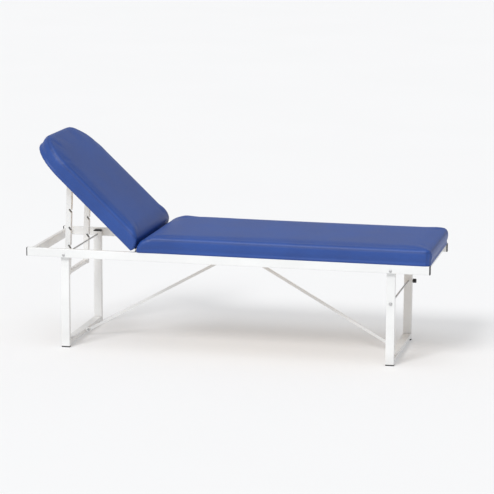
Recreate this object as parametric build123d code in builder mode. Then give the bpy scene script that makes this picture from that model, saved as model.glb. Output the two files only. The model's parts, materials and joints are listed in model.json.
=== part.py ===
from build123d import *
from math import atan2, cos, radians, sin, tan
import os

# Examination couch with a lifting backrest and two folding leg frames.
# Millimetres. Origin: on the floor under the middle of the couch.
# +X towards the foot end, +Y towards the lying person's left side, +Z up.

# --- overall ---------------------------------------------------------------
rail_length = 1900.0        # side rails, without their end caps
couch_width = 600.0         # over the outer faces of the side rails
rail_underside = 436.0      # underside of the side rails above the floor

# --- steel tube and fits ----------------------------------------------------
tube_deep = 40.0            # long side of the rectangular tube
tube_thin = 20.0            # short side of the rectangular tube
tube_wall = 1.5
tube_corner = 2.5           # outside corner of every rectangular tube
plug_play = 0.2             # plastic plug inside a tube, each side
turning_play = 0.05         # shaft in its hole, on the radius
face_play = 0.2             # between flat faces that slide past each other
rail_cap_flange = 5.0
plug_length = 18.0
cap_plug_gap = 2.0          # between a leg cap's plug and the axle
axle_radius = 4.0
axle_nut_radius = 6.5
axle_nut_height = 5.0
axle_nut_dome = 3.5
axle_in_nut = 3.0           # length of axle inside each nut
rivet_head_width = 2.0      # head beyond the pin, on the radius
rivet_head_height = 2.5
edge_chamfer = 1.0

# --- cross members ----------------------------------------------------------
head_bar_inset = 17.0       # from the rail's head end to the bar
foot_bar_inset = 17.0
seat_screw_side = 180.0     # seat screws from the middle of the couch

# --- leg frames -------------------------------------------------------------
leg_reach = 773.0           # leg pivots from the middle of the couch
leg_pivot_height = 447.0
leg_tube_top = 462.0
leg_cap_rise = 8.0
leg_cap_round = 7.5
leg_foot_height = 6.0
leg_washer = 1.3            # washer between rail and leg
leg_washer_width = 5.0      # ring width round the axle
leg_bar_underside = 13.5    # low bar between the two legs

# --- braces -----------------------------------------------------------------
brace_height = 13.0
brace_thick = 5.0
brace_offset = 8.0          # each brace stands this far beside the centre line
brace_pin_radius = 4.0
brace_eye_radius = 9.0
brace_foot_eye_radius = 8.0
brace_foot_reach = 14.0     # from the low bar's inner face to the brace's pin
brace_foot_height = 29.0
hook_slot_lean = 36.0       # slot, from square across the brace
hook_play = 0.4
ear_thick = 3.0
ear_play = 0.4
bracket_length = 34.0
hand_nut_radius = 11.0
hand_nut_length = 13.0
bolt_head_radius = 6.4
bolt_past_nut = 2.0

# --- paper roll bar ---------------------------------------------------------
roll_bar_height = 291.0
roll_bar_radius = 4.0
roll_head_radius = 8.0
roll_head_height = 6.0
roll_head_dome = 4.5
clamp_knob_radius = 10.0
clamp_knob_length = 16.0
clamp_screw_radius = 3.0
clamp_knob_gap = 2.0        # between the knob and the leg
clamp_tip_gap = 0.3         # between the screw's tip and the bar
knob_flutes = 8
flute_radius = 3.0

# --- padding ----------------------------------------------------------------
pad_height = 68.0           # board and padding together
board_thick = 12.0
board_inset = 5.0           # the cover wraps this far round the board
seat_start = 23.0           # from the hinge axis to the seat's end
seat_nose = 100.0           # length of the rounded end beside the hinge
seat_corner = 28.0
backrest_length = 680.0     # from the hinge axis to the head edge
backrest_start = 12.0
backrest_nose = 62.0
backrest_corner = 185.0
pad_edge_round = 18.0

# --- backrest hinge ---------------------------------------------------------
hinge_x = -441.0
backrest_angle = 43.4
barrel_radius = 4.0
hinge_pin_radius = 2.0
leaf_thick = 2.0
leaf_length = 70.0          # along the hinge axis
leaf_width = 32.0
leaf_relief = 1.0           # between a leaf's full width and the barrel
board_leaf_screw_inset = 9.0
bar_leaf_screw_inset = 12.8
leaf_screw_margin = 14.0    # from the leaf's end to its screw
hinge_inset = 80.0          # from a side rail to the middle of the hinge beside it
knuckle_play = 0.3
board_lift = 0.5            # backrest board over the rails when lying flat

# --- backrest prop ----------------------------------------------------------
prop_tube = 25.0
prop_spacing = 300.0        # between the middles of the two arms
prop_pivot_along = 454.0    # prop pivot from the hinge axis, along the board
prop_pivot_below = 19.0     # and below the line of the hinge axis
prop_lean = 2.0             # lower end towards the head end
prop_reach = 437.0          # from the prop pivot to the low bar
prop_bar = 20.0
notch_width = 9.0
notch_depth = 11.0
notch_slope = 50.0
notch_pitch = 86.0
notch_count = 3
prop_ear_play = 0.6
prop_plate = 54.0           # screwed plate of each prop bracket
prop_plate_lead = 14.0      # from the prop pivot to the plate's head end
prop_plate_thick = 3.0
plate_screw_margin_along = 10.8
plate_screw_margin_across = 4.3
prop_ear_inset = 1.0        # ears inside the arm's width, each side
prop_plug_flange = 3.0
prop_plug_length = 9.0

# --- screws -----------------------------------------------------------------
screw_radius = 2.0
screw_head_radius = 4.0
screw_head_height = 2.4
screw_bite = 8.0            # length in the board
seat_screw_radius = 2.5

# --- what follows from these ------------------------------------------------
rail_top = rail_underside + tube_deep
rail_middle_height = rail_underside + tube_deep / 2
rail_outer = couch_width / 2
rail_inner = rail_outer - tube_thin
rail_middle = rail_outer - tube_thin / 2
cap_face = rail_length / 2 + rail_cap_flange
leg_outer = rail_inner - leg_washer - face_play
leg_inner = leg_outer - tube_thin
leg_middle = leg_outer - tube_thin / 2
bar_span = 2 * rail_inner
pad_top = rail_top + pad_height
head_bar_x = -rail_length / 2 + head_bar_inset + tube_thin / 2
foot_bar_x = rail_length / 2 - foot_bar_inset - tube_thin / 2
hinge_height = rail_top - barrel_radius + board_lift
bar_side = hinge_x + barrel_radius + knuckle_play
hinge_bar_x = bar_side + tube_thin / 2
brace_foot_x = leg_reach - tube_deep / 2 - brace_foot_reach
ear_outer = brace_offset + brace_thick / 2 + ear_play
bracket_floor = rail_top - tube_thin - ear_thick
hook_height = bracket_floor - brace_eye_radius  # bolt that both braces hook on
axle_length = couch_width + 2 * axle_in_nut
leaf_screw_along = leaf_width - board_leaf_screw_inset
leaf_screw_drop = leaf_width - bar_leaf_screw_inset
leaf_screws_apart = leaf_length - 2 * leaf_screw_margin
hinge_places = (hinge_inset - rail_inner, rail_inner - hinge_inset)
prop_plate_middle = prop_pivot_along + prop_plate_lead - prop_plate / 2
prop_screws_along = prop_plate - 2 * plate_screw_margin_along
prop_screws_across = prop_plate - 2 * plate_screw_margin_across
tube_inside_corner = tube_corner - tube_wall
plug_inset = tube_wall + plug_play
SIDES = {"right": -1, "left": 1}
ENDS = {"head": -1, "foot": 1}

os.makedirs("parts", exist_ok=True)


def save(part, name):
    part.label = name
    export_step(part, f"parts/{name}.step")


def tilted(angle):
    """The backrest's own frame: along the board, across it, and square out of its face."""
    along = (-cos(radians(angle)), 0, sin(radians(angle)))
    out = (sin(radians(angle)), 0, cos(radians(angle)))
    return along, out


along_board, out_of_board = tilted(backrest_angle)
hinge_point = (hinge_x, 0, hinge_height)
side_plane = Plane(hinge_point, x_dir=along_board, z_dir=(0, 1, 0))
board_plane = Plane(hinge_point, x_dir=along_board, z_dir=out_of_board)
board_under = barrel_radius


def knob_sketch(radius):
    """Fluted knob outline in the active sketch."""
    Circle(radius)
    with PolarLocations(radius + flute_radius / 2, knob_flutes):
        Circle(flute_radius, mode=Mode.SUBTRACT)


def tube_sketch(width, height):
    """Rectangular tube section in the active sketch."""
    RectangleRounded(width, height, tube_corner)
    RectangleRounded(width - 2 * tube_wall, height - 2 * tube_wall, tube_inside_corner,
                     mode=Mode.SUBTRACT)


def plug_sketch(width, height):
    """Plug that fits inside a tube of this outside size, in the active sketch."""
    RectangleRounded(width - 2 * plug_inset, height - 2 * plug_inset, tube_inside_corner)


# --- side rails -------------------------------------------------------------
for side, s in SIDES.items():
    with BuildPart() as rail:
        with BuildSketch(Plane.YZ.offset(-rail_length / 2)):
            with Locations((s * rail_middle, rail_middle_height)):
                tube_sketch(tube_thin, tube_deep)
        extrude(amount=rail_length)
        with BuildSketch(Plane.XZ.offset(-s * rail_middle)):
            with Locations((-leg_reach, leg_pivot_height), (leg_reach, leg_pivot_height)):
                Circle(axle_radius + turning_play)
        extrude(amount=tube_thin, both=True, mode=Mode.SUBTRACT)
    save(rail.part, f"side_rail_{side}")

with BuildPart() as rail_end_caps:
    for e in ENDS.values():
        for s in SIDES.values():
            with BuildSketch(Plane.YZ.offset(e * rail_length / 2)):
                with Locations((s * rail_middle, rail_middle_height)):
                    RectangleRounded(tube_thin, tube_deep, tube_corner)
            extrude(amount=e * rail_cap_flange)
            with BuildSketch(Plane.YZ.offset(e * rail_length / 2)):
                with Locations((s * rail_middle, rail_middle_height)):
                    plug_sketch(tube_thin, tube_deep)
            extrude(amount=-e * plug_length)
    cap_faces = rail_end_caps.faces().filter_by(Axis.X)
    outside = cap_faces.filter_by(lambda f: abs(f.center().X) > cap_face - edge_chamfer)
    chamfer(outside.edges(), edge_chamfer)
save(rail_end_caps.part, "rail_end_caps")

# --- cross members ----------------------------------------------------------
upright_bars = {"head": head_bar_x, "hinge": hinge_bar_x, "foot": foot_bar_x}
for name, x in upright_bars.items():
    with BuildPart() as crossbar:
        with BuildSketch(Plane.XZ.offset(-rail_inner)):
            with Locations((x, rail_middle_height)):
                tube_sketch(tube_thin, tube_deep)
        extrude(amount=bar_span)
        if name == "foot":
            with BuildSketch(Plane.XY.offset(rail_underside)):
                with Locations((x, -seat_screw_side), (x, seat_screw_side)):
                    Circle(seat_screw_radius + turning_play)
            extrude(amount=tube_deep, mode=Mode.SUBTRACT)
        if name == "hinge":
            with BuildSketch(Plane.YZ.offset(x - tube_thin)):
                for y in hinge_places:
                    with Locations((y, hinge_height - leaf_screw_drop)):
                        with GridLocations(leaf_screws_apart, 0, 2, 1):
                            Circle(screw_radius)
            extrude(amount=tube_thin, mode=Mode.SUBTRACT)
    save(crossbar.part, f"crossbar_{name}")

with BuildPart() as crossbar_centre:
    with BuildSketch(Plane.XZ.offset(-rail_inner)):
        with Locations((0, rail_top - tube_thin / 2)):
            tube_sketch(tube_deep, tube_thin)
    extrude(amount=bar_span)
    with BuildSketch(Plane.XY.offset(rail_top - tube_thin)):
        with Locations((0, -seat_screw_side), (0, seat_screw_side)):
            Circle(seat_screw_radius + turning_play)
    extrude(amount=tube_thin, mode=Mode.SUBTRACT)
save(crossbar_centre.part, "crossbar_centre")

# --- leg pivots -------------------------------------------------------------
for end, e in ENDS.items():
    with BuildPart() as axle:
        with BuildSketch(Plane.XZ.offset(-axle_length / 2)):
            with Locations((e * leg_reach, leg_pivot_height)):
                Circle(axle_radius)
        extrude(amount=axle_length)
    save(axle.part, f"{end}_axle")

with BuildPart() as axle_nuts:
    for e in ENDS.values():
        for s in SIDES.values():
            with BuildSketch(Plane.XZ.offset(-s * rail_outer)):
                with Locations((e * leg_reach, leg_pivot_height)):
                    Circle(axle_nut_radius)
            extrude(amount=-s * axle_nut_height)
    domes = axle_nuts.faces().filter_by(Axis.Y)
    domes = domes.filter_by(lambda f: abs(f.center().Y) > rail_outer + axle_nut_height / 2)
    fillet(domes.edges(), axle_nut_dome)
    with BuildSketch(Plane.XZ.offset(-axle_length / 2)):
        with Locations((-leg_reach, leg_pivot_height), (leg_reach, leg_pivot_height)):
            Circle(axle_radius)
    extrude(amount=axle_length, mode=Mode.SUBTRACT)
save(axle_nuts.part, "axle_nuts")

with BuildPart() as pivot_washers:
    for e in ENDS.values():
        for s in SIDES.values():
            with BuildSketch(Plane.XZ.offset(-s * rail_inner)):
                with Locations((e * leg_reach, leg_pivot_height)):
                    Circle(axle_radius + leg_washer_width)
                    Circle(axle_radius + turning_play, mode=Mode.SUBTRACT)
            extrude(amount=s * leg_washer)
save(pivot_washers.part, "pivot_washers")

# --- hook bracket under the centre bar --------------------------------------
with BuildPart() as centre_bracket:
    with BuildSketch(Plane.XY.offset(bracket_floor)):
        Rectangle(bracket_length, 2 * (ear_outer + ear_thick))
    extrude(amount=ear_thick)
    for s in SIDES.values():
        with BuildSketch(Plane.XZ.offset(-s * ear_outer)):
            with Locations((0, (bracket_floor + hook_height) / 2)):
                Rectangle(bracket_length, bracket_floor - hook_height)
            with Locations((0, hook_height)):
                SlotCenterToCenter(bracket_length - 2 * brace_eye_radius, 2 * brace_eye_radius)
        extrude(amount=-s * ear_thick)
    with BuildSketch(Plane.XZ):
        with Locations((0, hook_height)):
            Circle(brace_pin_radius + turning_play)
    extrude(amount=ear_outer + 2 * ear_thick, both=True, mode=Mode.SUBTRACT)
save(centre_bracket.part, "centre_bracket")

bracket_outer = ear_outer + ear_thick
with BuildPart() as hook_bolt:
    with BuildSketch(Plane.XZ.offset(bracket_outer)):
        with Locations((0, hook_height)):
            RegularPolygon(bolt_head_radius, 6)
    extrude(amount=brace_pin_radius)
    with BuildSketch(Plane.XZ.offset(bracket_outer)):
        with Locations((0, hook_height)):
            Circle(brace_pin_radius)
    extrude(amount=-2 * bracket_outer - hand_nut_length - bolt_past_nut)
save(hook_bolt.part, "hook_bolt")

with BuildPart() as hand_nut:
    with BuildSketch(Plane.XZ.offset(-bracket_outer - face_play)):
        with Locations((0, hook_height)):
            knob_sketch(hand_nut_radius)
            Circle(brace_pin_radius + turning_play, mode=Mode.SUBTRACT)
    extrude(amount=-hand_nut_length)
    chamfer(hand_nut.faces().sort_by(Axis.Y)[-1].outer_wire().edges(), edge_chamfer)
save(hand_nut.part, "hand_nut")

# --- leg frames -------------------------------------------------------------
for end, e in ENDS.items():
    x = e * leg_reach
    for side, s in SIDES.items():
        with BuildPart() as leg:
            with BuildSketch(Plane.XY.offset(leg_foot_height)):
                with Locations((x, s * leg_middle)):
                    tube_sketch(tube_deep, tube_thin)
            extrude(amount=leg_tube_top - leg_foot_height)
            with BuildSketch(Plane.XZ.offset(-s * leg_middle)):
                with Locations((x, leg_pivot_height)):
                    Circle(axle_radius + turning_play)
            extrude(amount=tube_thin, both=True, mode=Mode.SUBTRACT)
            if end == "foot":
                with BuildSketch(Plane.XZ.offset(-s * leg_middle)):
                    with Locations((x, roll_bar_height)):
                        Circle(roll_bar_radius + turning_play)
                extrude(amount=tube_thin, both=True, mode=Mode.SUBTRACT)
            if end == "foot" and side == "left":
                with BuildSketch(Plane.YZ.offset(x)):
                    with Locations((s * leg_middle, roll_bar_height)):
                        Circle(clamp_screw_radius + turning_play)
                extrude(amount=tube_deep, mode=Mode.SUBTRACT)
        save(leg.part, f"{end}_leg_{side}")

    with BuildPart() as leg_caps:
        for s in SIDES.values():
            with BuildSketch(Plane.XZ.offset(-s * leg_inner)):
                with Locations((x, leg_tube_top)):
                    Rectangle(tube_deep, leg_cap_rise, align=(Align.CENTER, Align.MIN))
            extrude(amount=-s * tube_thin)
            with BuildSketch(Plane.XY.offset(leg_tube_top)):
                with Locations((x, s * leg_middle)):
                    plug_sketch(tube_deep, tube_thin)
            extrude(amount=-(leg_tube_top - leg_pivot_height - axle_radius - cap_plug_gap))
        tops = leg_caps.edges().filter_by(Axis.Y)
        tops = tops.filter_by(lambda g: g.center().Z > leg_tube_top + leg_cap_rise / 2)
        fillet(tops, leg_cap_round)
    save(leg_caps.part, f"{end}_leg_caps")

    with BuildPart() as leg_feet:
        for s in SIDES.values():
            with BuildSketch(Plane.XY):
                with Locations((x, s * leg_middle)):
                    RectangleRounded(tube_deep, tube_thin, tube_corner)
            extrude(amount=leg_foot_height)
            with BuildSketch(Plane.XY.offset(leg_foot_height)):
                with Locations((x, s * leg_middle)):
                    plug_sketch(tube_deep, tube_thin)
            extrude(amount=plug_length)
        chamfer(leg_feet.edges().group_by(Axis.Z)[0], edge_chamfer)
    save(leg_feet.part, f"{end}_leg_feet")

    with BuildPart() as leg_bar:
        with BuildSketch(Plane.XZ.offset(-leg_inner)):
            with Locations((x, leg_bar_underside + tube_thin / 2)):
                tube_sketch(tube_deep, tube_thin)
        extrude(amount=2 * leg_inner)
    save(leg_bar.part, f"{end}_leg_bar")

    # Lug on the low bar's inner face: a back plate and two ears round the brace.
    y = e * brace_offset
    bar_face = e * (leg_reach - tube_deep / 2)
    pin_x = e * brace_foot_x
    with BuildPart() as brace_lug:
        half = brace_thick / 2 + ear_play
        with BuildSketch(Plane.YZ.offset(bar_face)):
            with Locations((y, brace_foot_height)):
                Rectangle(2 * (half + ear_thick), 2 * brace_eye_radius)
        extrude(amount=-e * ear_thick)
        for s in SIDES.values():
            with BuildSketch(Plane.XZ.offset(-y - s * half)):
                with Locations(((bar_face + pin_x) / 2, brace_foot_height)):
                    Rectangle(abs(bar_face - pin_x), 2 * brace_eye_radius)
                with Locations((pin_x, brace_foot_height)):
                    Circle(brace_eye_radius)
            extrude(amount=-s * ear_thick)
        with BuildSketch(Plane.XZ.offset(-y)):
            with Locations((pin_x, brace_foot_height)):
                Circle(brace_pin_radius + turning_play)
        extrude(amount=half + 2 * ear_thick, both=True, mode=Mode.SUBTRACT)
    save(brace_lug.part, f"{end}_brace_lug")

    with BuildPart() as brace_pin:
        pin_half = half + ear_thick
        with BuildSketch(Plane.XZ.offset(-y)):
            with Locations((pin_x, brace_foot_height)):
                Circle(brace_pin_radius)
        extrude(amount=pin_half, both=True)
        for s in SIDES.values():
            with BuildSketch(Plane.XZ.offset(-y - s * pin_half)):
                with Locations((pin_x, brace_foot_height)):
                    Circle(brace_pin_radius + rivet_head_width)
            extrude(amount=-s * rivet_head_height)
    save(brace_pin.part, f"{end}_brace_pin")

    # Flat brace from the lug up to the hook bolt. Its own plane runs along it from the pin.
    rise = hook_height - brace_foot_height
    brace_length = (brace_foot_x ** 2 + rise ** 2) ** 0.5
    slope = atan2(rise, brace_foot_x)
    brace_plane = Plane((pin_x, y, brace_foot_height),
                        x_dir=(-e * cos(slope), 0, sin(slope)), z_dir=(0, e, 0))
    with BuildPart() as brace:
        with BuildSketch(brace_plane):
            with Locations((brace_length / 2, 0)):
                Rectangle(brace_length, brace_height)
            Circle(brace_foot_eye_radius)
            with Locations((brace_length, 0)):
                Circle(brace_eye_radius)
            Circle(brace_pin_radius + turning_play, mode=Mode.SUBTRACT)
            with Locations((brace_length, 0)):
                Circle(brace_pin_radius + hook_play, mode=Mode.SUBTRACT)
                with Locations(Location((0, 0), 90 + hook_slot_lean)):
                    Rectangle(3 * brace_eye_radius, 2 * (brace_pin_radius + hook_play),
                              align=(Align.MIN, Align.CENTER), mode=Mode.SUBTRACT)
        extrude(amount=brace_thick / 2, both=True)
    save(brace.part, f"{end}_brace")

# --- paper roll bar and its clamp -------------------------------------------
with BuildPart() as roll_bar:
    with BuildSketch(Plane.XZ.offset(leg_outer)):
        with Locations((leg_reach, roll_bar_height)):
            Circle(roll_bar_radius)
    extrude(amount=-2 * leg_outer)
    chamfer(roll_bar.faces().sort_by(Axis.Y)[-1].edges(), edge_chamfer)
save(roll_bar.part, "roll_bar")

with BuildPart() as roll_bar_head:
    with BuildSketch(Plane.XZ.offset(leg_outer + face_play)):
        with Locations((leg_reach, roll_bar_height)):
            Circle(roll_head_radius)
    extrude(amount=roll_head_height)
    fillet(roll_bar_head.faces().sort_by(Axis.Y)[0].edges(), roll_head_dome)
    with BuildSketch(Plane.XZ.offset(leg_outer)):
        with Locations((leg_reach, roll_bar_height)):
            Circle(roll_bar_radius)
    extrude(amount=face_play, mode=Mode.SUBTRACT)
save(roll_bar_head.part, "roll_bar_head")

knob_face = leg_reach + tube_deep / 2 + clamp_knob_gap
with BuildPart() as clamp_knob:
    with BuildSketch(Plane.YZ.offset(knob_face)):
        with Locations((leg_middle, roll_bar_height)):
            knob_sketch(clamp_knob_radius)
    extrude(amount=clamp_knob_length)
    chamfer(clamp_knob.faces().sort_by(Axis.X)[-1].edges(), edge_chamfer)
save(clamp_knob.part, "clamp_knob")

with BuildPart() as clamp_screw:
    with BuildSketch(Plane.YZ.offset(knob_face)):
        with Locations((leg_middle, roll_bar_height)):
            Circle(clamp_screw_radius)
    extrude(amount=-(knob_face - leg_reach - roll_bar_radius - clamp_tip_gap))
save(clamp_screw.part, "clamp_screw")

# --- seat -------------------------------------------------------------------
seat_head = hinge_x + seat_start
with BuildPart() as seat_board:
    with BuildSketch(Plane.XY.offset(rail_top)):
        board_length = cap_face - seat_head - 2 * board_inset
        with Locations(((cap_face + seat_head) / 2, 0)):
            RectangleRounded(board_length, couch_width - 2 * board_inset, seat_corner - board_inset)
    extrude(amount=board_thick)
    for x in (0, foot_bar_x):
        with BuildSketch(Plane.XY.offset(rail_top)):
            with Locations((x, -seat_screw_side), (x, seat_screw_side)):
                Circle(seat_screw_radius)
        extrude(amount=screw_bite, mode=Mode.SUBTRACT)
save(seat_board.part, "seat_board")

with BuildPart() as seat_cushion:
    with BuildSketch(Plane.XY.offset(rail_top)) as seat_plan:
        with Locations(((cap_face + seat_head) / 2, 0)):
            Rectangle(cap_face - seat_head, couch_width)
        foot_corners = seat_plan.vertices().group_by(Axis.X)[-1]
        fillet(foot_corners, seat_corner)
    extrude(amount=pad_height)
    with BuildSketch(Plane.XZ) as seat_side:
        with BuildLine():
            nose = EllipticalCenterArc((seat_head + seat_nose, rail_top), seat_nose, pad_height,
                                       start_angle=90, arc_size=90)
            Polyline(nose @ 1, (cap_face, rail_top), (cap_face, pad_top), nose @ 0)
        make_face()
        foot_top = seat_side.vertices().group_by(Axis.X)[-1].sort_by(Axis.Y)[-1]
        fillet(foot_top, pad_edge_round)
    extrude(amount=couch_width, both=True, mode=Mode.INTERSECT)
    with BuildSketch(Plane.XY.offset(rail_top)):
        with Locations(((cap_face + seat_head) / 2, 0)):
            RectangleRounded(board_length, couch_width - 2 * board_inset, seat_corner - board_inset)
    extrude(amount=board_thick, mode=Mode.SUBTRACT)
save(seat_cushion.part, "seat_cushion")

with BuildPart() as seat_screws:
    for x, underside in ((0.0, rail_top - tube_thin), (foot_bar_x, rail_underside)):
        for y in (-seat_screw_side, seat_screw_side):
            with BuildSketch(Plane.XY.offset(underside)):
                with Locations((x, y)):
                    Circle(2 * seat_screw_radius)
            extrude(amount=-screw_head_height)
            with BuildSketch(Plane.XY.offset(underside)):
                with Locations((x, y)):
                    Circle(seat_screw_radius)
            extrude(amount=rail_top - underside + screw_bite)
save(seat_screws.part, "seat_screws")

# --- backrest ---------------------------------------------------------------
backrest_middle = (backrest_start + backrest_length) / 2
backrest_span = backrest_length - backrest_start
under_plane = board_plane.offset(board_under)
bracket_places = [s * prop_spacing / 2 for s in SIDES.values()]

with BuildPart() as backrest_board:
    with BuildSketch(under_plane) as backrest_board_plan:
        with Locations((backrest_middle, 0)):
            Rectangle(backrest_span - 2 * board_inset, couch_width - 2 * board_inset)
        fillet(backrest_board_plan.vertices().group_by(Axis.X)[-1], backrest_corner - board_inset)
    extrude(amount=board_thick)
    with BuildSketch(under_plane):
        for y in bracket_places:
            with Locations((prop_plate_middle, y)):
                with GridLocations(prop_screws_along, prop_screws_across, 2, 2):
                    Circle(screw_radius)
        for y in hinge_places:
            with Locations((leaf_screw_along, y)):
                with GridLocations(0, leaf_screws_apart, 1, 2):
                    Circle(screw_radius)
    extrude(amount=screw_bite, mode=Mode.SUBTRACT)
save(backrest_board.part, "backrest_board")

with BuildPart() as backrest_cushion:
    with BuildSketch(under_plane) as backrest_plan:
        with Locations((backrest_middle, 0)):
            Rectangle(backrest_span, couch_width)
        fillet(backrest_plan.vertices().group_by(Axis.X)[-1], backrest_corner)
    extrude(amount=pad_height)
    with BuildSketch(side_plane) as backrest_side:
        with BuildLine():
            nose = EllipticalCenterArc((backrest_start + backrest_nose, board_under),
                                       backrest_nose, pad_height, start_angle=90, arc_size=90)
            Polyline(nose @ 1, (backrest_length, board_under),
                     (backrest_length, board_under + pad_height), nose @ 0)
        make_face()
        head_top = backrest_side.vertices().group_by(Axis.X)[-1].sort_by(Axis.Y)[-1]
        fillet(head_top, pad_edge_round)
    extrude(amount=couch_width, both=True, mode=Mode.INTERSECT)
    with BuildSketch(under_plane) as pocket:
        with Locations((backrest_middle, 0)):
            Rectangle(backrest_span - 2 * board_inset, couch_width - 2 * board_inset)
        fillet(pocket.vertices().group_by(Axis.X)[-1], backrest_corner - board_inset)
    extrude(amount=board_thick, mode=Mode.SUBTRACT)
save(backrest_cushion.part, "backrest_cushion")

# --- backrest hinges --------------------------------------------------------
# Each hinge has a leaf on the crossbar with two outer knuckles, a leaf under the
# board with the middle knuckle, and a pin.
knuckle = leaf_length / 3
pin_bore = hinge_pin_radius + turning_play

with BuildPart() as hinge_fixed_leaves:
    leaf_middle = bar_side - leaf_thick / 2
    for y in hinge_places:
        with BuildSketch(Plane.XZ.offset(-y)):
            with Locations((leaf_middle, hinge_height - leaf_width)):
                Rectangle(leaf_thick, leaf_width - barrel_radius - leaf_relief,
                          align=(Align.CENTER, Align.MIN))
        extrude(amount=leaf_length / 2, both=True)
        for k in (-knuckle, knuckle):
            with BuildSketch(Plane.XZ.offset(-y - k)):
                with Locations((leaf_middle, hinge_height - leaf_width / 2)):
                    Rectangle(leaf_thick, leaf_width / 2, align=(Align.CENTER, Align.MIN))
                with Locations((hinge_x, hinge_height)):
                    Circle(barrel_radius)
                    Circle(hinge_pin_radius, mode=Mode.SUBTRACT)
            extrude(amount=(knuckle - knuckle_play) / 2, both=True)
    with BuildSketch(Plane.YZ.offset(bar_side - leaf_thick)):
        for y in hinge_places:
            with Locations((y, hinge_height - leaf_screw_drop)):
                with GridLocations(leaf_screws_apart, 0, 2, 1):
                    Circle(screw_radius)
    extrude(amount=leaf_thick, mode=Mode.SUBTRACT)
save(hinge_fixed_leaves.part, "hinge_fixed_leaves")

with BuildPart() as hinge_moving_leaves:
    leaf_level = barrel_radius - leaf_thick / 2
    for y in hinge_places:
        with BuildSketch(side_plane.offset(y)):
            with Locations((barrel_radius + leaf_relief, leaf_level)):
                Rectangle(leaf_width - barrel_radius - leaf_relief, leaf_thick,
                          align=(Align.MIN, Align.CENTER))
        extrude(amount=leaf_length / 2, both=True)
        with BuildSketch(side_plane.offset(y)):
            with Locations((0, leaf_level)):
                Rectangle(leaf_width / 2, leaf_thick, align=(Align.MIN, Align.CENTER))
            Circle(barrel_radius)
            Circle(pin_bore, mode=Mode.SUBTRACT)
        extrude(amount=(knuckle - knuckle_play) / 2, both=True)
    with BuildSketch(board_plane.offset(barrel_radius - leaf_thick)):
        for y in hinge_places:
            with Locations((leaf_screw_along, y)):
                with GridLocations(0, leaf_screws_apart, 1, 2):
                    Circle(screw_radius)
    extrude(amount=leaf_thick, mode=Mode.SUBTRACT)
save(hinge_moving_leaves.part, "hinge_moving_leaves")

with BuildPart() as hinge_pins:
    for y in hinge_places:
        with BuildSketch(Plane.XZ.offset(-y)):
            with Locations((hinge_x, hinge_height)):
                Circle(hinge_pin_radius)
        extrude(amount=leaf_length / 2, both=True)
save(hinge_pins.part, "hinge_pins")

with BuildPart() as hinge_bar_screws:
    for y in hinge_places:
        for k in (-leaf_screws_apart / 2, leaf_screws_apart / 2):
            with BuildSketch(Plane.YZ.offset(bar_side - leaf_thick)):
                with Locations((y + k, hinge_height - leaf_screw_drop)):
                    Circle(screw_head_radius)
            extrude(amount=-screw_head_height)
            with BuildSketch(Plane.YZ.offset(bar_side - leaf_thick)):
                with Locations((y + k, hinge_height - leaf_screw_drop)):
                    Circle(screw_radius)
            extrude(amount=screw_bite)
save(hinge_bar_screws.part, "hinge_bar_screws")

with BuildPart() as hinge_board_screws:
    leaf_under = board_plane.offset(barrel_radius - leaf_thick)
    for y in hinge_places:
        for k in (-leaf_screws_apart / 2, leaf_screws_apart / 2):
            with BuildSketch(leaf_under):
                with Locations((leaf_screw_along, y + k)):
                    Circle(screw_head_radius)
            extrude(amount=-screw_head_height)
            with BuildSketch(leaf_under):
                with Locations((leaf_screw_along, y + k)):
                    Circle(screw_radius)
            extrude(amount=leaf_thick + screw_bite)
save(hinge_board_screws.part, "hinge_board_screws")

# --- prop brackets and pivot rod --------------------------------------------
plate_under = board_plane.offset(board_under - prop_plate_thick)
prop_ear_inner = prop_tube / 2 + prop_ear_play
ear_radius = prop_tube / 2 - prop_ear_inset

with BuildPart() as prop_brackets:
    for y in bracket_places:
        with BuildSketch(plate_under):
            with Locations((prop_plate_middle, y)):
                Rectangle(prop_plate, prop_plate)
                with GridLocations(prop_screws_along, prop_screws_across, 2, 2):
                    Circle(screw_radius, mode=Mode.SUBTRACT)
        extrude(amount=prop_plate_thick)
        for s in SIDES.values():
            with BuildSketch(side_plane.offset(y + s * prop_ear_inner)):
                drop = board_under - prop_plate_thick + prop_pivot_below
                with Locations((prop_pivot_along, -prop_pivot_below)):
                    Rectangle(2 * ear_radius, drop, align=(Align.CENTER, Align.MIN))
                    Circle(ear_radius)
                    Circle(axle_radius, mode=Mode.SUBTRACT)
            extrude(amount=s * ear_thick)
save(prop_brackets.part, "prop_brackets")

with BuildPart() as prop_bracket_screws:
    for y in bracket_places:
        with BuildSketch(plate_under):
            with Locations((prop_plate_middle, y)):
                with GridLocations(prop_screws_along, prop_screws_across, 2, 2):
                    Circle(screw_head_radius)
        extrude(amount=-screw_head_height)
        with BuildSketch(plate_under):
            with Locations((prop_plate_middle, y)):
                with GridLocations(prop_screws_along, prop_screws_across, 2, 2):
                    Circle(screw_radius)
        extrude(amount=prop_plate_thick + screw_bite)
save(prop_bracket_screws.part, "prop_bracket_screws")

rod_half = prop_spacing / 2 + prop_ear_inner + ear_thick
with BuildPart() as prop_pivot_rod:
    with BuildSketch(side_plane.offset(-rod_half)):
        with Locations((prop_pivot_along, -prop_pivot_below)):
            Circle(axle_radius)
    extrude(amount=2 * rod_half)
    for s in SIDES.values():
        with BuildSketch(side_plane.offset(s * rod_half)):
            with Locations((prop_pivot_along, -prop_pivot_below)):
                Circle(axle_radius + rivet_head_width)
        extrude(amount=s * rivet_head_height)
save(prop_pivot_rod.part, "prop_pivot_rod")

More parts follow.
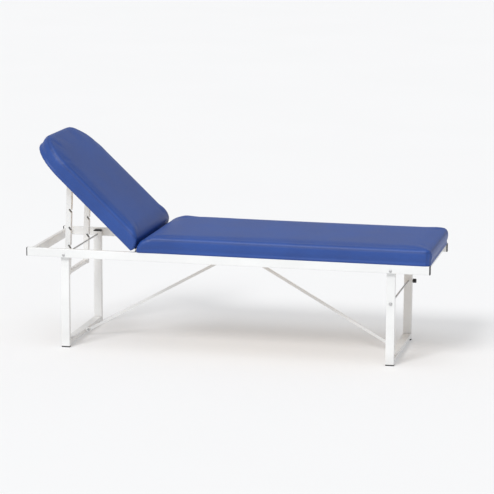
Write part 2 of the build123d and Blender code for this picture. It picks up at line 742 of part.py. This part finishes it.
# --- backrest prop ----------------------------------------------------------
# Two notched arms and a low bar. Its plane runs down the arms from the pivot,
# with -y towards the axle of the head legs.
prop_pivot = board_plane.from_local_coords((prop_pivot_along, 0, -prop_pivot_below))
down_arm = (-sin(radians(prop_lean)), 0, -cos(radians(prop_lean)))
prop_plane = Plane(prop_pivot, x_dir=down_arm, z_dir=(0, 1, 0))
axle_seen = prop_plane.to_local_coords(Vector(-leg_reach, 0, leg_pivot_height))
mouth_rise = (-axle_seen.Y - prop_tube / 2) * tan(radians(notch_slope))
arm_end = prop_reach + prop_bar / 2

for side, s in SIDES.items():
    with BuildPart() as prop_arm:
        with BuildSketch(prop_plane.offset(s * prop_spacing / 2)):
            Rectangle(arm_end - prop_plug_flange, prop_tube, align=(Align.MIN, Align.CENTER))
            Circle(prop_tube / 2)
        extrude(amount=prop_tube / 2, both=True)
        hollow = prop_tube - 2 * tube_wall
        with BuildSketch(prop_plane.offset(s * prop_spacing / 2)):
            with Locations((prop_tube / 4, 0)):
                Rectangle(arm_end, hollow, align=(Align.MIN, Align.CENTER))
        extrude(amount=hollow / 2, both=True, mode=Mode.SUBTRACT)
        with BuildSketch(prop_plane.offset(s * prop_spacing / 2)):
            Circle(axle_radius + turning_play)
            for n in range(notch_count):
                mouth = axle_seen.X - mouth_rise - n * notch_pitch
                with Locations(Location((mouth, -prop_tube / 2), 90 + notch_slope)):
                    SlotCenterToCenter(2 * (notch_depth - notch_width / 2) / cos(radians(notch_slope)),
                                       notch_width)
        extrude(amount=prop_tube, both=True, mode=Mode.SUBTRACT)
    save(prop_arm.part, f"prop_arm_{side}")

with BuildPart() as prop_plugs:
    for s in SIDES.values():
        end_plane = prop_plane.offset(s * prop_spacing / 2)
        with BuildSketch(end_plane):
            with Locations((arm_end - prop_plug_flange, 0)):
                Rectangle(prop_plug_flange, prop_tube, align=(Align.MIN, Align.CENTER))
        extrude(amount=prop_tube / 2, both=True)
        plug_side = prop_tube - 2 * plug_inset
        with BuildSketch(end_plane):
            with Locations((arm_end - prop_plug_flange, 0)):
                Rectangle(prop_plug_length, plug_side, align=(Align.MAX, Align.CENTER))
        extrude(amount=plug_side / 2, both=True)
save(prop_plugs.part, "prop_plugs")

with BuildPart() as prop_low_bar:
    with BuildSketch(prop_plane):
        with Locations((prop_reach, 0)):
            tube_sketch(prop_bar, prop_bar)
    extrude(amount=(prop_spacing - prop_tube) / 2, both=True)
save(prop_low_bar.part, "prop_low_bar")
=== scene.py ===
import json
from math import atan2, cos, exp, pi, radians, sin

import bpy
from mathutils import Matrix, Vector


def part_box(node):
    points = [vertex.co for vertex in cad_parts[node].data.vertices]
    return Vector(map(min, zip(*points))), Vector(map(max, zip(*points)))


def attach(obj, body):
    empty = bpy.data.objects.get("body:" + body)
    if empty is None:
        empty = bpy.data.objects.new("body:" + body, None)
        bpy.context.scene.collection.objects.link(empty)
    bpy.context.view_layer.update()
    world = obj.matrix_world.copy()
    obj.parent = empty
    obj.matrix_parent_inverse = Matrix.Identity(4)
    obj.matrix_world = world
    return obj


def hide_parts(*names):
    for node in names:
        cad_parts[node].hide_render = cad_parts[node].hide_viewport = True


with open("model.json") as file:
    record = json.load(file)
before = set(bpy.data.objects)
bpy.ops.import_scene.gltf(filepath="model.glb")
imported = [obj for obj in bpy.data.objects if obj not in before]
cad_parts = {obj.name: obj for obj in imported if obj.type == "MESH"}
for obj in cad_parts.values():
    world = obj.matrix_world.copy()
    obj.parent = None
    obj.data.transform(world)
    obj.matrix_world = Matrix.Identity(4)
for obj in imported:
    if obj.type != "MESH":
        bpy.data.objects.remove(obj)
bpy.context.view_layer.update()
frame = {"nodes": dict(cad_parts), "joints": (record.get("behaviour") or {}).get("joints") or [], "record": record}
nodes = frame["nodes"]
record = frame["record"]
joints = {joint["name"]: joint for joint in frame["joints"]}

# --- the backrest's own frame: along the board, across it, and square out of its face
backrest_angle = radians(-joints["backrest_tilt"]["range_deg"][0])
hinge = Vector(joints["backrest_tilt"]["pos_m"])
along_board = Vector((-cos(backrest_angle), 0, sin(backrest_angle)))
out_of_board = Vector((sin(backrest_angle), 0, cos(backrest_angle)))
board_frame = Matrix((
    (along_board.x, 0, out_of_board.x, hinge.x),
    (along_board.y, -1, out_of_board.y, hinge.y),
    (along_board.z, 0, out_of_board.z, hinge.z),
    (0, 0, 0, 1)))
to_board = board_frame.inverted()

# --- plane, midway between the boards, where the cushions meet with the backrest at its steepest
lift_left = radians(joints["backrest_tilt"]["range_deg"][1])
meeting_lean = (pi - backrest_angle - lift_left) / 2
towards_seat = Vector((sin(meeting_lean), 0, -cos(meeting_lean)))
meeting_offset = 0.0065     # from the hinge axis to the plane
meeting_gap = 0.0004        # between each cushion and the plane
meeting_give = 0.002        # depth over which a cover eases into the plane
meeting_point = hinge + towards_seat * meeting_offset


def span(node, turn=None):
    """Lowest and highest corner of a CAD node, in the turned frame if one is given."""
    points = [turn @ v.co if turn else v.co for v in nodes[node].data.vertices]
    return (Vector(min(p[i] for p in points) for i in range(3)),
            Vector(max(p[i] for p in points) for i in range(3)))


# --- shader maths ------------------------------------------------------------
class Wire:
    """A node's output that Python expressions can combine."""

    def __init__(self, tree, socket=None):
        self.tree, self.socket = tree, socket

    def node(self, kind, settings=None, inputs=None, output=0):
        made = self.tree.nodes.new(kind)
        for name, value in (settings or {}).items():
            setattr(made, name, value)
        for key, value in (inputs or {}).items():
            if isinstance(value, Wire):
                self.tree.links.new(value.socket, made.inputs[key])
            else:
                made.inputs[key].default_value = value
        return Wire(self.tree, made.outputs[output])

    def maths(self, operation, *values):
        return self.node("ShaderNodeMath", {"operation": operation}, dict(enumerate(values)))

    def __add__(self, other):
        return self.maths("ADD", self, other)

    def __mul__(self, other):
        return self.maths("MULTIPLY", self, other)

    def __sub__(self, other):
        return self.maths("SUBTRACT", self, other)

    def __rsub__(self, other):
        return self.maths("SUBTRACT", other, self)

    __radd__, __rmul__ = __add__, __mul__


def mixed(mask, first, second):
    """Colour that goes from first to second as mask goes from 0 to 1."""
    as_colour = [c if isinstance(c, Wire) else (*c, 1) for c in (first, second)]
    return mask.node("ShaderNodeMix", {"data_type": "RGBA"},
                     {0: mask, 6: as_colour[0], 7: as_colour[1]}, output=2)


def noise(wire, place, scale, detail=3.0, roughness=0.5):
    return wire.node("ShaderNodeTexNoise", None,
                     {"Vector": place, "Scale": scale, "Detail": detail, "Roughness": roughness})


def between(value, low, high):
    """0 below low, 1 above high, and smooth between them."""
    return value.node("ShaderNodeMapRange", {"interpolation_type": "SMOOTHSTEP"},
                      {0: value, 1: low, 2: high})


def start_finish(name, **constants):
    """A new material, its shader, an empty wire and the object's own coordinates."""
    material = bpy.data.materials.new(name)
    material.use_nodes = True
    tree = material.node_tree
    shader = tree.nodes["Principled BSDF"]
    for key, value in constants.items():
        shader.inputs[key.replace("_", " ")].default_value = value
    wire = Wire(tree)
    place = wire.node("ShaderNodeTexCoord", output=3)
    return material, shader, wire, place


def connect(shader, wire, **inputs):
    for key, value in inputs.items():
        wire.tree.links.new(value.socket, shader.inputs[key.replace("_", " ")])


def bumped(wire, height, distance, strength):
    return wire.node("ShaderNodeBump", None,
                     {"Height": height, "Distance": distance, "Strength": strength})


def white_enamel():
    material, shader, wire, place = start_finish(
        "white_enamel", Metallic=0.0, Coat_Roughness=0.18, Coat_Weight=0.25)
    cloud = noise(wire, place, 5.0, 4.0)
    speck = noise(wire, place, 260.0, 2.0)
    peel = noise(wire, place, 420.0, 1.0)
    height = wire.node("ShaderNodeSeparateXYZ", None, {0: place}, output=2)
    scuff = (1 - between(height, 0.0, 0.12)) * between(cloud, 0.42, 0.7)
    colour = mixed(between(cloud, 0.3, 0.7), (0.86, 0.865, 0.86), (0.80, 0.805, 0.80))
    colour = mixed(scuff * 0.35, colour, (0.52, 0.51, 0.49))
    colour = mixed(between(speck, 0.74, 0.8) * 0.25, colour, (0.6, 0.6, 0.58))
    connect(shader, wire, Base_Color=colour, Roughness=cloud * 0.16 + 0.30,
            Normal=bumped(wire, peel, 0.00012, 0.6))
    return material


def zinc_steel():
    material, shader, wire, place = start_finish("zinc_steel", Metallic=0.95)
    stretched = wire.node("ShaderNodeMapping", None, {"Vector": place, "Scale": (400.0, 12.0, 400.0)})
    brush = noise(wire, stretched, 2.0, 3.0)
    spangle = wire.node("ShaderNodeTexVoronoi", None, {"Vector": place, "Scale": 320.0})
    colour = mixed(between(spangle, 0.1, 0.7), (0.50, 0.50, 0.51), (0.62, 0.62, 0.62))
    connect(shader, wire, Base_Color=colour, Roughness=brush * 0.25 + 0.26,
            Normal=bumped(wire, brush, 0.00008, 0.5))
    return material


def moulded_plastic(name, colour, lighter):
    material, shader, wire, place = start_finish(name, Metallic=0.0)
    grain = noise(wire, place, 900.0, 2.0)
    cloud = noise(wire, place, 30.0, 3.0)
    connect(shader, wire, Base_Color=mixed(between(cloud, 0.35, 0.7), colour, lighter),
            Roughness=cloud * 0.2 + 0.42, Normal=bumped(wire, grain, 0.00010, 0.6))
    return material


def blue_vinyl():
    material, shader, wire, place = start_finish(
        "blue_vinyl", Metallic=0.0, Specular_IOR_Level=0.6)
    warp = noise(wire, place, 60.0, 2.0)
    cells = wire.node("ShaderNodeTexVoronoi", {"feature": "DISTANCE_TO_EDGE"},
                      {"Vector": place, "Scale": 520.0})
    pores = noise(wire, place, 1500.0, 2.0)
    cloud = noise(wire, place, 4.0, 4.0, 0.55)
    creases = between(cells, 0.0, 0.22)
    seam_pleat_shade = wire.node("ShaderNodeAttribute", {"attribute_name": "seam_pleat_shade"}, None, output=2)
    colour = mixed(between(cloud, 0.3, 0.72), (0.007, 0.054, 0.270), (0.011, 0.070, 0.330))
    # painted shade: the colour darkens in the grain creases
    colour = mixed((1 - creases) * 0.28, colour, (0.004, 0.030, 0.150))
    colour = mixed(between(warp, 0.55, 0.8) * 0.10, colour, (0.020, 0.088, 0.36))
    # painted shade in the seam groove along the top edge and in the corner pleat folds
    colour = mixed(seam_pleat_shade * 0.4, colour, (0.003, 0.016, 0.085))
    grain = bumped(wire, creases + pores * 0.3, 0.00022, 0.55)
    connect(shader, wire, Base_Color=colour, Roughness=cloud * 0.14 + creases * 0.06 + 0.36,
            Normal=grain)
    return material


def plywood(turn=None):
    """Birch face with layered edges. turn is the board's angle above the floor."""
    material, shader, wire, place = start_finish("plywood_tilted" if turn else "plywood", Metallic=0.0)
    flat = wire.node("ShaderNodeMapping", None, {"Vector": place, "Rotation": (0, -(turn or 0.0), 0)})
    lines = wire.node("ShaderNodeMapping", None, {"Vector": flat, "Scale": (1.6, 22.0, 22.0)})
    figure = noise(wire, lines, 3.0, 6.0, 0.62)
    fine = noise(wire, lines, 38.0, 3.0)
    knots = wire.node("ShaderNodeTexVoronoi", None, {"Vector": flat, "Scale": 3.4})
    up = wire.node("ShaderNodeSeparateXYZ", None, {0: flat}, output=2)
    layer = between(up.maths("SINE", up * 2100.0), -0.3, 0.3)
    facing = wire.node("ShaderNodeMapping", {"vector_type": "NORMAL"}, {
        "Vector": wire.node("ShaderNodeNewGeometry", output=1), "Rotation": (0, -(turn or 0.0), 0)})
    upright = wire.node("ShaderNodeSeparateXYZ", None, {0: facing}, output=2)
    on_face = between(wire.maths("ABSOLUTE", upright), 0.6, 0.8)
    face = mixed(between(figure, 0.32, 0.68), (0.60, 0.43, 0.25), (0.47, 0.31, 0.165))
    face = mixed(between(fine, 0.5, 0.8) * 0.35, face, (0.34, 0.21, 0.11))
    face = mixed((1 - between(knots, 0.02, 0.07)) * 0.8, face, (0.17, 0.09, 0.045))
    edge = mixed(layer, (0.56, 0.40, 0.23), (0.27, 0.165, 0.085))
    connect(shader, wire, Base_Color=mixed(on_face, edge, face), Roughness=figure * 0.2 + 0.55,
            Normal=bumped(wire, fine, 0.00018, 0.5))
    return material


def studio_floor():
    material, shader, wire, place = start_finish(
        "studio_floor", Metallic=0.0, Roughness=0.85, Specular_IOR_Level=0.2,
        Emission_Color=(0.20, 0.20, 0.203, 1), Emission_Strength=1.0)
    tone = noise(wire, place, 0.6, 2.0)
    colour = mixed(between(tone, 0.3, 0.7) * 0.3, (0.70, 0.70, 0.702), (0.68, 0.68, 0.68))
    connect(shader, wire, Base_Color=colour)
    return material


finishes = {
    "white_enamel": white_enamel(),
    "zinc_steel": zinc_steel(),
    "black_plastic": moulded_plastic("black_plastic", (0.018, 0.018, 0.019), (0.035, 0.035, 0.036)),
    "white_plastic": moulded_plastic("white_plastic", (0.78, 0.78, 0.76), (0.70, 0.70, 0.68)),
    "blue_vinyl": blue_vinyl(),
    "plywood": plywood(),
}
tilted_plywood = plywood(backrest_angle)
for subpart in record["subparts"]:
    node = nodes[subpart["node"]]
    finish = finishes[subpart["material_slot"]]
    if subpart["node"] == "backrest_board":
        finish = tilted_plywood
    node.data.materials.clear()
    node.data.materials.append(finish)


# --- making pieces -----------------------------------------------------------
def pick(piece):
    """Makes piece the only selected and active object."""
    bpy.ops.object.select_all(action="DESELECT")
    piece.select_set(True)
    bpy.context.view_layer.objects.active = piece
    return piece


def apply_modifier(piece, kind, **settings):
    pick(piece)
    modifier = piece.modifiers.new(kind.lower(), kind)
    for key, value in settings.items():
        setattr(modifier, key, value)
    bpy.ops.object.modifier_apply(modifier=modifier.name)


def settle(piece):
    pick(piece)
    bpy.ops.object.transform_apply(location=True, rotation=True, scale=True)
    return piece


def dress(piece, body, slot_name, finish=None):
    piece.data.materials.clear()
    piece.data.materials.append(finish or finishes[slot_name])
    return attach(piece, body)


def rounded_distance(x, y, half_x, half_y, corner):
    """Distance outside a rounded rectangle, negative inside it."""
    over_x, over_y = abs(x) - half_x + corner, abs(y) - half_y + corner
    outside = (max(over_x, 0.0) ** 2 + max(over_y, 0.0) ** 2) ** 0.5
    return outside + min(max(over_x, over_y), 0.0) - corner


# --- cushions ----------------------------------------------------------------
swell = 0.006       # furthest that the filling pushes any point of a cover
plump = 0.0095      # fullness that the cover keeps round its edges
nose_fullness = 0.008
voxel = 0.0075
filling_pressure = 4.0
filling_steps = 20
seam_drop = 0.006   # from the top of the foam down to the seam
seam_depth = 0.0012
pleat_turns = [radians(24), radians(66)]
pleat_width = 0.0065
pleat_depth = 0.0026
cover_side = 0.016  # how far in from the outline still counts as the side
rim = 0.007         # width of cover that lies flat round the board
board_play = 0.0004


def stuffed(name, cushion_node, board_node, to_flat, from_flat, outline, underside, height, board,
            nose_end, nose_length, corners):
    """Foam pad in its cover: the CAD pad and board joined, remeshed, swollen and seamed."""
    parts = []
    for source in (cushion_node, board_node):
        part = nodes[source].copy()
        part.data = nodes[source].data.copy()
        part.parent = None
        for key in [k for k in part.keys() if k.startswith("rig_")]:
            del part[key]
        bpy.context.scene.collection.objects.link(part)
        parts.append(part)
    pad = pick(parts[0])
    parts[1].select_set(True)
    bpy.ops.object.join()
    pad.name = pad.data.name = name
    pad.data.transform(to_flat)
    pick(pad)
    bpy.ops.object.mode_set(mode="EDIT")
    bpy.ops.mesh.select_all(action="SELECT")
    bpy.ops.mesh.remove_doubles(threshold=0.00005)
    bpy.ops.object.mode_set(mode="OBJECT")
    pad.data.remesh_voxel_size = voxel
    pad.data.remesh_voxel_adaptivity = 0.0
    bpy.ops.object.voxel_remesh()
    upper = pad.vertex_groups.new(name="upper")
    nose = pad.vertex_groups.new(name="nose")
    for vertex in pad.data.vertices:
        rise = min(max((vertex.co.z - underside - 0.002) / (height * 0.62), 0.0), 1.0)
        upper.add([vertex.index], rise * rise * (3 - 2 * rise), "REPLACE")
        reach = min(max(1 - abs(vertex.co.x - nose_end) / nose_length, 0.0), 1.0)
        low_start = min(max((vertex.co.z - underside) / board, 0.0), 1.0)
        nose.add([vertex.index], low_start * reach * reach * (3 - 2 * reach), "REPLACE")
    apply_modifier(pad, "DISPLACE", strength=nose_fullness, mid_level=0.0, vertex_group="nose")
    apply_modifier(pad, "SMOOTH", factor=0.5, iterations=2, vertex_group="upper")
    start = [v.co.copy() for v in pad.data.vertices]
    held = pad.vertex_groups.new(name="held")
    held.add([v.index for v in pad.data.vertices if v.co.z < underside + board], 1.0, "REPLACE")
    cloth = pad.modifiers.new("cloth", "CLOTH")
    cloth.settings.quality = 5
    cloth.settings.use_pressure = True
    cloth.settings.uniform_pressure_force = filling_pressure
    cloth.settings.effector_weights.gravity = 0.0
    cloth.settings.vertex_group_mass = "held"
    cloth.point_cache.frame_start, cloth.point_cache.frame_end = 1, filling_steps
    for step in range(1, filling_steps + 1):
        bpy.context.scene.frame_set(step)
    pick(pad)
    bpy.ops.object.modifier_apply(modifier="cloth")
    bpy.context.scene.frame_set(1)
    for vertex, before in zip(pad.data.vertices, start):
        moved = vertex.co - before
        if moved.length > swell:
            vertex.co = before + moved.normalized() * swell
    apply_modifier(pad, "SMOOTH", factor=0.5, iterations=2, vertex_group="upper")
    apply_modifier(pad, "DISPLACE", strength=plump, mid_level=0.0, vertex_group="upper")
    pad.vertex_groups.clear()
    apply_modifier(pad, "SUBSURF", levels=1, render_levels=1)
    shape_cover(pad, outline, underside, height, board, corners)
    pad.data.transform(from_flat)
    pick(pad)
    bpy.ops.object.shade_smooth()
    return pad


def make_room(pad, lift, own_side):
    """Press the pad back from the plane where it meets the other cushion at full lift."""
    raised = Matrix.Translation(hinge) @ Matrix.Rotation(lift, 4, "Y") @ Matrix.Translation(-hinge)
    lowered = raised.inverted()
    for vertex in pad.data.vertices:
        point = raised @ vertex.co
        past = (meeting_point - point).dot(own_side) + meeting_gap + meeting_give
        if past > 0:
            pressed = past - meeting_give * (1 - exp(-past / meeting_give))
            vertex.co = lowered @ (point + own_side * pressed)


def shape_cover(pad, outline, underside, height, board, corners):
    """Seam round the top edge, gathered corner pleats, a flat underside and room for the board; stores the groove
    and fold depth that the vinyl darkens as painted shade.
    """
    top = underside + height
    # depth of the seam groove and pleat folds at each point, used by the vinyl as painted shade
    seam_pleat_shade = pad.data.attributes.new("seam_pleat_shade", "FLOAT", "POINT")
    for vertex in pad.data.vertices:
        point = vertex.co
        edge = outline(point.x, point.y)
        on_side = -edge < cover_side
        line = abs(point.z - (top - seam_drop))
        if on_side and point.z > top - 0.02:
            depth = max(0.0, 1 - line / seam_drop)
            vertex.co += Vector((0, -1 if point.y > 0 else 1, 0)) * seam_depth * depth
            seam_pleat_shade.data[vertex.index].value = depth
        for centre_x, centre_y, corner in corners:
            away_x, away_y = point.x - centre_x, abs(point.y) - centre_y
            if on_side and away_x > 0 and away_y > 0 and underside + 0.006 < point.z < top - 0.012:
                turn = atan2(away_y, away_x)
                inward = Vector((-cos(turn), -sin(turn) if point.y > 0 else sin(turn), 0))
                for fold in pleat_turns:
                    depth = max(0.0, 1 - abs(turn - fold) * corner / pleat_width)
                    vertex.co += inward * pleat_depth * depth
                    seam_pleat_shade.data[vertex.index].value = max(seam_pleat_shade.data[vertex.index].value, depth * 0.7)
        if point.z < underside + 0.004:
            vertex.co.z = underside
            if edge < -rim:
                vertex.co.z = underside + board + board_play
        vertex.co.z = max(vertex.co.z, underside)


seat_low, seat_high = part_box("seat_cushion")
seat_board_low, seat_board_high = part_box("seat_board")
seat_middle = (seat_low + seat_high) / 2
seat_half = (seat_high - seat_low) / 2
seat_corner = 0.028


def seat_outline(x, y):
    corner = seat_corner if x > seat_middle.x else 0.0
    return rounded_distance(x - seat_middle.x, y, seat_half.x, seat_half.y, corner)


seat_pad = stuffed("seat_pad", "seat_cushion", "seat_board", Matrix.Identity(4), Matrix.Identity(4),
                   seat_outline, seat_low.z, seat_high.z - seat_low.z,
                   seat_board_high.z - seat_board_low.z, seat_low.x, 0.13,
                   [(seat_high.x - seat_corner, seat_high.y - seat_corner, seat_corner)])
make_room(seat_pad, 0.0, towards_seat)
dress(seat_pad, "frame", "blue_vinyl")
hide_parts("seat_cushion")

back_low, back_high = span("backrest_cushion", to_board)
back_board_low, back_board_high = span("backrest_board", to_board)
back_middle = (back_low + back_high) / 2
back_half = (back_high - back_low) / 2
head_corner = 0.185


def backrest_outline(x, y):
    corner = head_corner if x > back_middle.x else 0.0
    return rounded_distance(x - back_middle.x, y, back_half.x, back_half.y, corner)


backrest_pad = stuffed("backrest_pad", "backrest_cushion", "backrest_board", to_board, board_frame,
                       backrest_outline, back_low.z, back_high.z - back_low.z,
                       back_board_high.z - back_board_low.z, back_low.x, 0.10,
                       [])
make_room(backrest_pad, lift_left, -towards_seat)
dress(backrest_pad, "backrest", "blue_vinyl")
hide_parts("backrest_cushion")


# --- weld beads at the tube joints -------------------------------------------
bead_radius = 0.0016
bead_corner = 0.0025
bead_ripple = 0.00025


def weld_bead(name, centre, width, height, body):
    """Bead round the end of a tube that runs along Y."""
    bpy.ops.object.select_all(action="DESELECT")
    bpy.ops.mesh.primitive_plane_add(size=1.0)
    bead = bpy.context.object
    bead.name = bead.data.name = name
    bead.scale = (width, height, 1.0)
    bead.rotation_euler = (radians(90), 0, 0)
    settle(bead)
    bead.location = centre
    settle(bead)
    bpy.ops.object.mode_set(mode="EDIT")
    bpy.ops.mesh.select_all(action="SELECT")
    bpy.ops.mesh.bevel(offset=bead_corner, segments=4, affect="VERTICES")
    bpy.ops.mesh.delete(type="ONLY_FACE")
    bpy.ops.mesh.select_all(action="SELECT")
    bpy.ops.mesh.subdivide(number_cuts=6)
    bpy.ops.object.mode_set(mode="OBJECT")
    bpy.ops.object.convert(target="CURVE")
    bead.data.bevel_depth = bead_radius
    bead.data.bevel_resolution = 2
    bpy.ops.object.convert(target="MESH")
    bpy.ops.object.mode_set(mode="EDIT")
    bpy.ops.mesh.select_all(action="SELECT")
    bpy.ops.mesh.normals_make_consistent(inside=False)
    bpy.ops.object.mode_set(mode="OBJECT")
    for vertex in bead.data.vertices:
        vertex.co.y += bead_ripple * sin(vertex.co.x * 2600 + vertex.co.z * 2300)
        vertex.co.z = min(vertex.co.z, centre.z + height / 2)  # ground flush on top
    bpy.ops.object.shade_smooth()
    return dress(bead, body, "white_enamel")


for bar in ("crossbar_head", "crossbar_hinge", "crossbar_centre", "crossbar_foot",
            "head_leg_bar", "foot_leg_bar"):
    low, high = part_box(bar)
    body = bar.replace("_leg_bar", "_legs") if "leg" in bar else "frame"
    for side, y in (("right", low.y), ("left", high.y)):
        middle = Vector(((low.x + high.x) / 2, y, (low.z + high.z) / 2))
        weld_bead(f"weld_{bar}_{side}", middle, high.x - low.x, high.z - low.z, body)


# --- cover turned under the backrest board, with its staples ------------------
edge_inset = 0.006
edge_width = 0.032
edge_thick = 0.0003
edge_drop = 0.0002          # from the board to the middle of the vinyl
staple_size = (0.0007, 0.010, 0.0003)
staple_drop = 0.00028
staple_inset = 0.022        # from the board's edge
staple_start = 0.045
side_staples = 11
head_staples = 7
head_staple_pitch = 0.036


def turned_edge():
    """Vinyl border on the back of the board, following its outline."""
    bpy.ops.object.select_all(action="DESELECT")
    bpy.ops.mesh.primitive_plane_add(size=2.0)
    border = bpy.context.object
    border.name = border.data.name = "backrest_turned_edge"
    border.scale = (back_half.x - edge_inset, back_half.y - edge_inset, 1.0)
    settle(border)
    border.location = (back_middle.x, 0, back_low.z - edge_drop)
    settle(border)
    for vertex in border.data.vertices:
        vertex.select = vertex.co.x > back_middle.x
    bpy.ops.object.mode_set(mode="EDIT")
    bpy.ops.mesh.bevel(offset=head_corner - edge_inset, segments=16, affect="VERTICES")
    bpy.ops.mesh.select_all(action="SELECT")
    bpy.ops.mesh.inset(thickness=edge_width, depth=0.0)
    bpy.ops.mesh.delete(type="FACE")
    bpy.ops.object.mode_set(mode="OBJECT")
    apply_modifier(border, "SOLIDIFY", thickness=edge_thick, offset=0.0)
    border.data.transform(board_frame)
    return dress(border, "backrest", "blue_vinyl")


turned_edge()


def staple_shape():
    """One staple, lying flat at the origin."""
    bpy.ops.object.select_all(action="DESELECT")
    bpy.ops.mesh.primitive_cube_add(size=1.0, scale=staple_size)
    made = bpy.context.object
    bpy.ops.object.mode_set(mode="EDIT")
    bpy.ops.mesh.select_all(action="SELECT")
    bpy.ops.mesh.bevel(offset=0.0001, segments=2)
    bpy.ops.object.mode_set(mode="OBJECT")
    shape = settle(made).data
    bpy.data.objects.remove(made)
    return shape


shape = staple_shape()
staple_reach = back_half.x * 2 - head_corner - 0.07
staple_places = []
for side in (-1, 1):
    for i in range(side_staples):
        x = back_low.x + staple_start + i * staple_reach / (side_staples - 1)
        staple_places.append((x, side * (back_half.y - staple_inset), 0.0))
for i in range(head_staples):
    across = (i - head_staples // 2) * head_staple_pitch
    staple_places.append((back_high.x - staple_inset, across, radians(90)))
for i, (x, y, turn) in enumerate(staple_places):
    piece = bpy.data.objects.new(f"staple_{i}", shape.copy())
    piece.data.name = piece.name
    bpy.context.scene.collection.objects.link(piece)
    piece.data.transform(board_frame @ Matrix.Translation((x, y, back_low.z - staple_drop))
                         @ Matrix.Rotation(turn + radians(78 + 5 * (i % 3)), 4, "Z"))
    dress(piece, "backrest", "zinc_steel")
bpy.data.meshes.remove(shape)

# --- studio ------------------------------------------------------------------
bpy.ops.object.select_all(action="DESELECT")
bpy.ops.mesh.primitive_plane_add(size=160.0)
floor = bpy.context.object
floor.name = "floor"
floor.data.materials.append(studio_floor())


def soft_sun(name, leaning, turned, spread, strength):
    """Light from far off, leaning from overhead and turned about the vertical."""
    lamp = bpy.data.lights.new(name, "SUN")
    lamp.angle, lamp.energy = radians(spread), strength
    light = bpy.data.objects.new(name, lamp)
    bpy.context.scene.collection.objects.link(light)
    light.rotation_euler = (radians(leaning), 0, radians(turned))


soft_sun("overhead_light", 12.0, 0.0, 40.0, 0.62)
soft_sun("front_light", 48.0, -20.0, 20.0, 1.62)

world = bpy.data.worlds.new("studio")
world.use_nodes = True
world.node_tree.nodes["Background"].inputs["Color"].default_value = (0.96, 0.97, 0.98, 1)
world.node_tree.nodes["Background"].inputs["Strength"].default_value = 0.55
bpy.context.scene.world = world
bpy.context.scene.view_settings.view_transform = "Standard"

# --- camera ------------------------------------------------------------------
camera_place = Vector((2.289, -10.045, 2.427))
camera_yaw, camera_dip, camera_roll = radians(12.62), radians(10.77), radians(0.32)
forward = Vector((-sin(camera_yaw) * cos(camera_dip), cos(camera_yaw) * cos(camera_dip),
                  -sin(camera_dip)))
level = Vector((cos(camera_yaw), sin(camera_yaw), 0))
upward = level.cross(forward)
right = level * cos(camera_roll) + upward * sin(camera_roll)
above = upward * cos(camera_roll) - level * sin(camera_roll)
lens = bpy.data.cameras.new("camera")
lens.lens, lens.sensor_width, lens.clip_end = 161.5, 36.0, 200.0
camera = bpy.data.objects.new("camera", lens)
camera.matrix_world = Matrix((
    (right.x, above.x, -forward.x, camera_place.x),
    (right.y, above.y, -forward.y, camera_place.y),
    (right.z, above.z, -forward.z, camera_place.z),
    (0, 0, 0, 1)))
bpy.context.scene.collection.objects.link(camera)
bpy.context.scene.camera = camera
